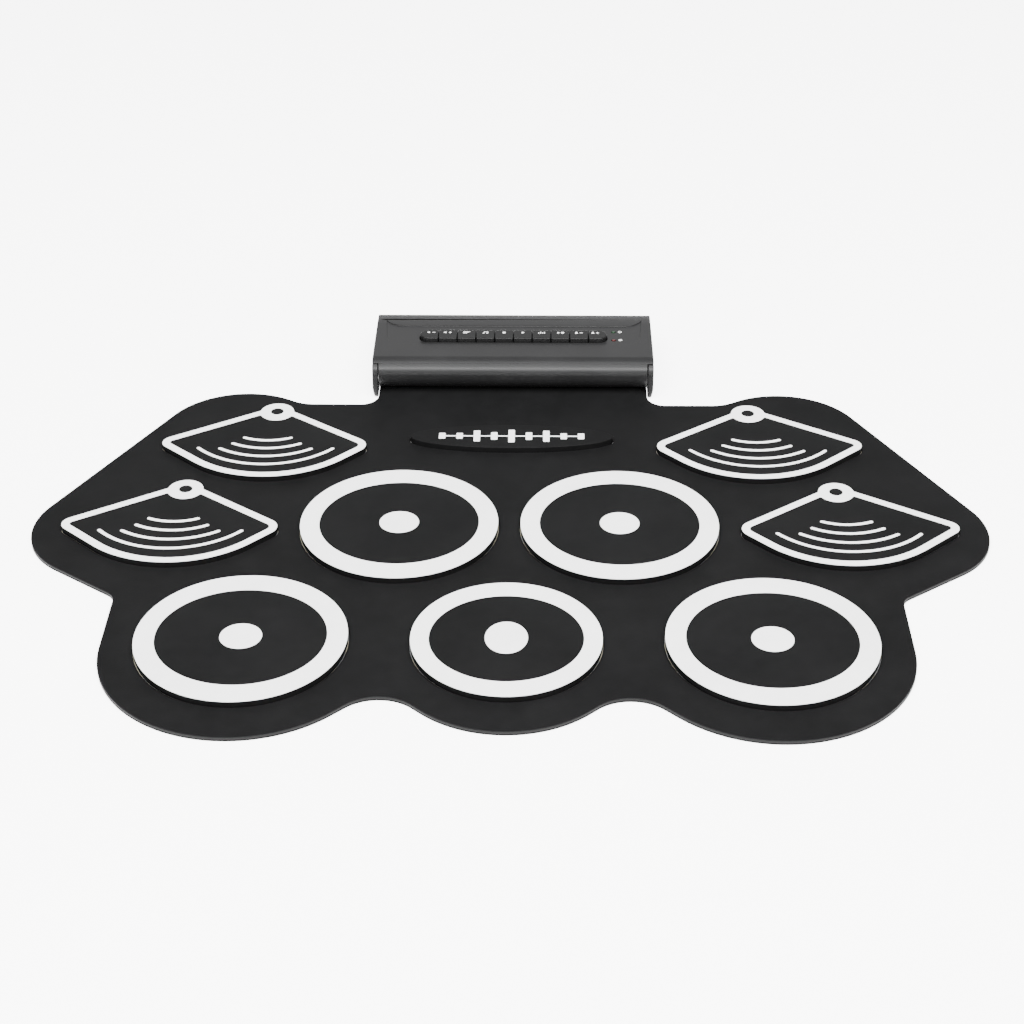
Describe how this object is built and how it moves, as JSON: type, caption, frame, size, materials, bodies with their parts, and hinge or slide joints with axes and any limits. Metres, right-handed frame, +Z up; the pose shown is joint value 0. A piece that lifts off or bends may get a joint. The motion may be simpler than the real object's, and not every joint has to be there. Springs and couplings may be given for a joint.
{
  "type": "roll-up electronic drum kit",
  "caption": "Flat silicone drum mat with round drum pads and fan-shaped cymbal pads, played with sticks through a slim keyed controller.",
  "frame": {"origin": "centre of the footprint, on the table that the kit lies on", "axes": "+X to the player's right, +Y away from the player towards the controller, +Z up"},
  "size_m": [0.444, 0.342, 0.0215],
  "materials": {
    "silicone": "matte",
    "inlay": "matte",
    "housing": "satin",
    "key": "satin",
    "film": "clear",
    "board": "satin",
    "socket": "matte",
    "steel": "plated",
    "lamp": "gloss",
    "foot_rubber": "matte"
  },
  "bodies": {
    "kit": {"base_sheet": "silicone", "sensor_film": "film", "top_sheet": "silicone", "nameplate": "silicone", "nameplate_mark": "inlay", "neck_clamp": "housing", "upper_shell": "housing", "lower_shell": "housing", "left_cheek": "housing", "right_cheek": "housing", "main_board": "board", "phones_jack": "socket", "line_in_jack": "socket", "kick_pedal_jack": "socket", "hihat_pedal_jack": "socket", "usb_socket": "steel", "power_lamp": "lamp", "record_lamp": "lamp", "foot_1": "foot_rubber", "foot_2": "foot_rubber", "foot_3": "foot_rubber", "foot_4": "foot_rubber", "screw_1": "steel", "screw_2": "steel", "screw_3": "steel", "screw_4": "steel"},
    "snare_pad": {"snare_pad": "silicone", "snare_inlay": "inlay"},
    "high_tom_pad": {"high_tom_pad": "silicone", "high_tom_inlay": "inlay"},
    "middle_tom_pad": {"middle_tom_pad": "silicone", "middle_tom_inlay": "inlay"},
    "floor_tom_pad": {"floor_tom_pad": "silicone", "floor_tom_inlay": "inlay"},
    "centre_pad": {"centre_pad": "silicone", "centre_inlay": "inlay"},
    "hihat_pad": {"hihat_pad": "silicone", "hihat_inlay": "inlay"},
    "crash_pad": {"crash_pad": "silicone", "crash_inlay": "inlay"},
    "splash_pad": {"splash_pad": "silicone", "splash_inlay": "inlay"},
    "ride_pad": {"ride_pad": "silicone", "ride_inlay": "inlay"},
    "key_01": {"key_01": "key"},
    "key_02": {"key_02": "key"},
    "key_03": {"key_03": "key"},
    "key_04": {"key_04": "key"},
    "key_05": {"key_05": "key"},
    "key_06": {"key_06": "key"},
    "key_07": {"key_07": "key"},
    "key_08": {"key_08": "key"},
    "key_09": {"key_09": "key"},
    "key_10": {"key_10": "key"},
    "power_slider": {"power_slider": "key"}
  },
  "joints": [
    {"name": "snare_strike", "type": "slide", "parent": "kit", "child": "snare_pad", "axis": [0, 0, -1], "range_m": [0, 0.0005], "stiffness_N_per_m": 8000},
    {"name": "high_tom_strike", "type": "slide", "parent": "kit", "child": "high_tom_pad", "axis": [0, 0, -1], "range_m": [0, 0.0005], "stiffness_N_per_m": 8000},
    {"name": "middle_tom_strike", "type": "slide", "parent": "kit", "child": "middle_tom_pad", "axis": [0, 0, -1], "range_m": [0, 0.0005], "stiffness_N_per_m": 8000},
    {"name": "floor_tom_strike", "type": "slide", "parent": "kit", "child": "floor_tom_pad", "axis": [0, 0, -1], "range_m": [0, 0.0005], "stiffness_N_per_m": 8000},
    {"name": "centre_strike", "type": "slide", "parent": "kit", "child": "centre_pad", "axis": [0, 0, -1], "range_m": [0, 0.0005], "stiffness_N_per_m": 8000},
    {"name": "hihat_strike", "type": "slide", "parent": "kit", "child": "hihat_pad", "axis": [0, 0, -1], "range_m": [0, 0.0005], "stiffness_N_per_m": 8000},
    {"name": "crash_strike", "type": "slide", "parent": "kit", "child": "crash_pad", "axis": [0, 0, -1], "range_m": [0, 0.0005], "stiffness_N_per_m": 8000},
    {"name": "splash_strike", "type": "slide", "parent": "kit", "child": "splash_pad", "axis": [0, 0, -1], "range_m": [0, 0.0005], "stiffness_N_per_m": 8000},
    {"name": "ride_strike", "type": "slide", "parent": "kit", "child": "ride_pad", "axis": [0, 0, -1], "range_m": [0, 0.0005], "stiffness_N_per_m": 8000},
    {"name": "key_01_press", "type": "slide", "parent": "kit", "child": "key_01", "axis": [0, 0, -1], "range_m": [0, 0.0006], "stiffness_N_per_m": 2500},
    {"name": "key_02_press", "type": "slide", "parent": "kit", "child": "key_02", "axis": [0, 0, -1], "range_m": [0, 0.0006], "stiffness_N_per_m": 2500},
    {"name": "key_03_press", "type": "slide", "parent": "kit", "child": "key_03", "axis": [0, 0, -1], "range_m": [0, 0.0006], "stiffness_N_per_m": 2500},
    {"name": "key_04_press", "type": "slide", "parent": "kit", "child": "key_04", "axis": [0, 0, -1], "range_m": [0, 0.0006], "stiffness_N_per_m": 2500},
    {"name": "key_05_press", "type": "slide", "parent": "kit", "child": "key_05", "axis": [0, 0, -1], "range_m": [0, 0.0006], "stiffness_N_per_m": 2500},
    {"name": "key_06_press", "type": "slide", "parent": "kit", "child": "key_06", "axis": [0, 0, -1], "range_m": [0, 0.0006], "stiffness_N_per_m": 2500},
    {"name": "key_07_press", "type": "slide", "parent": "kit", "child": "key_07", "axis": [0, 0, -1], "range_m": [0, 0.0006], "stiffness_N_per_m": 2500},
    {"name": "key_08_press", "type": "slide", "parent": "kit", "child": "key_08", "axis": [0, 0, -1], "range_m": [0, 0.0006], "stiffness_N_per_m": 2500},
    {"name": "key_09_press", "type": "slide", "parent": "kit", "child": "key_09", "axis": [0, 0, -1], "range_m": [0, 0.0006], "stiffness_N_per_m": 2500},
    {"name": "key_10_press", "type": "slide", "parent": "kit", "child": "key_10", "axis": [0, 0, -1], "range_m": [0, 0.0006], "stiffness_N_per_m": 2500},
    {"name": "power_slide", "type": "slide", "parent": "kit", "child": "power_slider", "axis": [1, 0, 0], "range_m": [0, 0.0025]}
  ]
}
